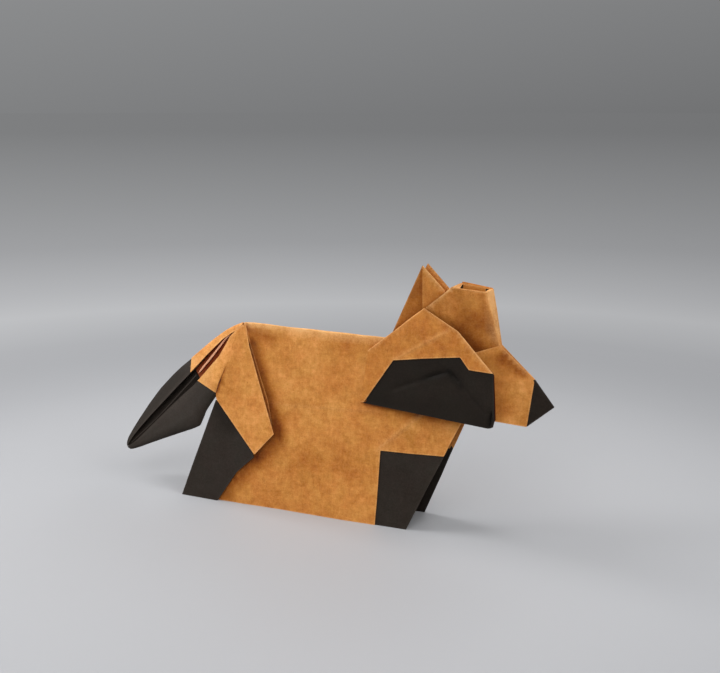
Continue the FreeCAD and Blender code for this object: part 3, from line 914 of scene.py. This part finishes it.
def make_tail():
    """The black tube, the brown root it grows from, and the folds that show in its slot."""
    # Both tubes are drawn lighter than the rest of the paper: painted light on the tail, which leans
    # up towards the lamps. The first band darkens the tail's upper half, the second lightens its lower
    # half.
    tail_tube("tail", tail_rows[black_row:], 0.0, black, tone_and_shade=1.18, start=black_start,
              bands=[((-41.5, 30.5), (-56.0, 15.0), 3.4, 0.8),
                     ((-36.0, 21.5), (-50.0, 12.4), 3.2, 1.12)])
    upper_end = tail_line((19.5, 1.6), (17.35, 4.46))
    lower_end = tail_line((18.58, -2.14), (15.79, -8.12))
    tail_tube("tail_root", tail_rows[:root_rows], 0.22, brown, tone_and_shade=1.2,
              ends=((1, upper_end), (-1, lower_end)))
    # The inside of the slot, drawn in the dark red of shaded brown: painted shade.
    slot_fold("tail_hollow", [(0.5, -0.6, 0.8, -0.3), (9.0, -2.6, 2.9, -0.6),
                              (18.6, -3.0, 3.0, -0.8)], shaded_brown, tone_and_shade=0.9)
    # A fold in the slot whose edge is drawn pale pink: painted highlight.
    slot_fold("tail_lit_pink_fold", [(3.4, 0.7, 0.85, 0.1), (5.6, 0.72, 1.2, 0.1),
                                  (8.3, 0.4, 0.92, 0.1), (13.0, 0.02, 0.58, 0.05),
                                  (16.6, -0.12, 0.35, 0.0), (17.9, 0.0, 0.2, -0.2)],
              lit_pink_edge, tone_and_shade=1.0)
    slot_fold("tail_inner_fold", [(18.8, 0.05, 0.4, -0.2), (25.0, 0.0, 0.35, -0.25),
                                  (32.0, -0.1, 0.25, -0.25), (38.0, 0.0, 0.3, -0.2),
                                  (44.0, 0.4, 0.65, -0.15), (48.0, 0.6, 0.8, -0.1)],
              black, tone_and_shade=0.55)


make_walls()
make_front_legs()
make_rear_legs()
make_thighs()
make_hood()
make_crown_lips()
make_neck()
make_snout()
make_cheeks()
make_ears()
make_tail()


# ---- Stage, light and camera ----------------------------------------------------------------------

floor_radius = 9.0         # metres, so that the edge lies far behind the animal
fade_start = 0.07          # metres from the middle: from here the lit floor fades into the room,
fade_end = 0.2             # and from here on only the room shows
room_reach = 0.3           # metres out, where the floor is half as near as in the middle
floor_grey = (0.375, 0.379, 0.395)
room_grey = (0.196, 0.199, 0.203)
light_white = (1.0, 0.985, 0.96)

# The camera's place in millimetres, and how far it looks round to the rear and down
camera_place = (116.75, -238.86, 99.71)
camera_turn = radians(23.98)
camera_tilt = radians(11.95)

# The room's greys: nearness of the floor (0 is far off, 1 is the middle), and colour
room_greys = [(0.08, (0.197, 0.200, 0.204)), (0.25, (0.275, 0.279, 0.286)),
              (0.36, (0.330, 0.334, 0.345)), (0.46, (0.430, 0.435, 0.449)),
              (0.51, (0.490, 0.496, 0.510)), (0.58, (0.418, 0.424, 0.440)),
              (0.68, (0.402, 0.408, 0.426)), (0.80, (0.445, 0.451, 0.474))]


def seen_directly(tree):
    """1 for what is seen directly, mirrored or through glass, and 0 for the light on things."""
    path = add(tree, "ShaderNodeLightPath").outputs
    seen = path["Is Camera Ray"]
    for kind in ("Is Glossy Ray", "Is Transmission Ray"):
        seen = maths(tree, "MAXIMUM", seen, path[kind])
    return seen


def make_floor():
    """A pale sheet of paper that fades into the grey of the room behind it."""
    bm = bmesh.new()
    bmesh.ops.create_circle(bm, cap_ends=True, segments=96, radius=floor_radius)
    mesh = bpy.data.meshes.new("floor")
    bm.to_mesh(mesh)
    bm.free()
    material = bpy.data.materials.new("pale_floor")
    material.use_nodes = True
    tree = material.node_tree
    shader = tree.nodes["Principled BSDF"]
    shader.inputs["Base Color"].default_value = (*floor_grey, 1)
    shader.inputs["Roughness"].default_value = 0.6
    place = add(tree, "ShaderNodeTexCoord").outputs["Object"]
    far = add(tree, "ShaderNodeVectorMath", {0: place}, operation="LENGTH").outputs["Value"]
    wide = sum_of(tree, far, room_reach)
    nearness = maths(tree, "DIVIDE", room_reach, wide)
    aside = reach_along(tree, place, (-0.26, -0.15, 0))
    turned = maths(tree, "DIVIDE", aside, wide)
    glow = add(tree, "ShaderNodeEmission", {"Color": ramp(tree, nearness, room_greys),
                                            "Strength": sum_of(tree, turned, 1.0)})
    fade = add(tree, "ShaderNodeMapRange", {"Value": far, "From Min": fade_start,
                                            "From Max": fade_end},
               interpolation_type="SMOOTHSTEP").outputs[0]
    blend = add(tree, "ShaderNodeMixShader", {0: product(tree, fade, seen_directly(tree)),
                                              1: shader.outputs[0], 2: glow.outputs[0]})
    tree.links.new(blend.outputs[0], tree.nodes["Material Output"].inputs["Surface"])
    mesh.materials.append(material)
    floor = bpy.data.objects.new("floor", mesh)
    bpy.context.collection.objects.link(floor)


def make_softbox(name, place, side, power):
    """A square softbox at a place in millimetres, turned towards the animal's middle."""
    lamp = bpy.data.lights.new(name, "AREA")
    lamp.shape = "RECTANGLE"
    lamp.size = lamp.size_y = side * MM
    lamp.energy = power
    box = bpy.data.objects.new(name, lamp)
    box.location = Vector(place) * MM
    aim = Vector((0, 0, 30)) - Vector(place)
    box.rotation_euler = aim.to_track_quat("-Z", "Y").to_euler()
    bpy.context.collection.objects.link(box)


def make_world():
    """Even light from all round, and a grey room behind the floor, brighter upwards."""
    world = bpy.data.worlds.new("studio")
    world.use_nodes = True
    bpy.context.scene.world = world
    tree = world.node_tree
    light = tree.nodes["Background"]
    light.inputs["Color"].default_value = (*light_white, 1)
    light.inputs["Strength"].default_value = 0.2
    ahead = add(tree, "ShaderNodeTexCoord").outputs["Generated"]
    upwards = reach_along(tree, ahead, (-0.37, -0.16, 2.2))
    room = add(tree, "ShaderNodeBackground", {"Color": (*room_grey, 1),
                                              "Strength": sum_of(tree, upwards, 1.0)})
    blend = add(tree, "ShaderNodeMixShader", {0: seen_directly(tree), 1: light.outputs[0],
                                              2: room.outputs[0]})
    tree.links.new(blend.outputs[0], tree.nodes["World Output"].inputs["Surface"])


def make_camera():
    """A camera a little above the animal, round from its near side towards the nose."""
    lens = bpy.data.cameras.new("camera")
    lens.sensor_fit = "HORIZONTAL"
    lens.sensor_width = 36
    lens.lens = 55.82
    lens.clip_start = 0.01
    camera = bpy.data.objects.new("camera", lens)
    ahead = Vector((-sin(camera_turn) * cos(camera_tilt), cos(camera_turn) * cos(camera_tilt),
                    -sin(camera_tilt)))
    camera.location = Vector(camera_place) * MM
    camera.rotation_euler = ahead.to_track_quat("-Z", "Y").to_euler()
    bpy.context.collection.objects.link(camera)
    bpy.context.scene.camera = camera


make_floor()
make_softbox("left_softbox", (-653, -57, 495), 600, 8.4)
make_softbox("front_softbox", (163, -609, 523), 500, 2.9)
make_softbox("back_softbox", (114, 645, 495), 420, 1.0)
make_softbox("right_softbox", (645, -114, 495), 420, 2.9)
make_world()
make_camera()
bpy.context.scene.view_settings.view_transform = "Standard"
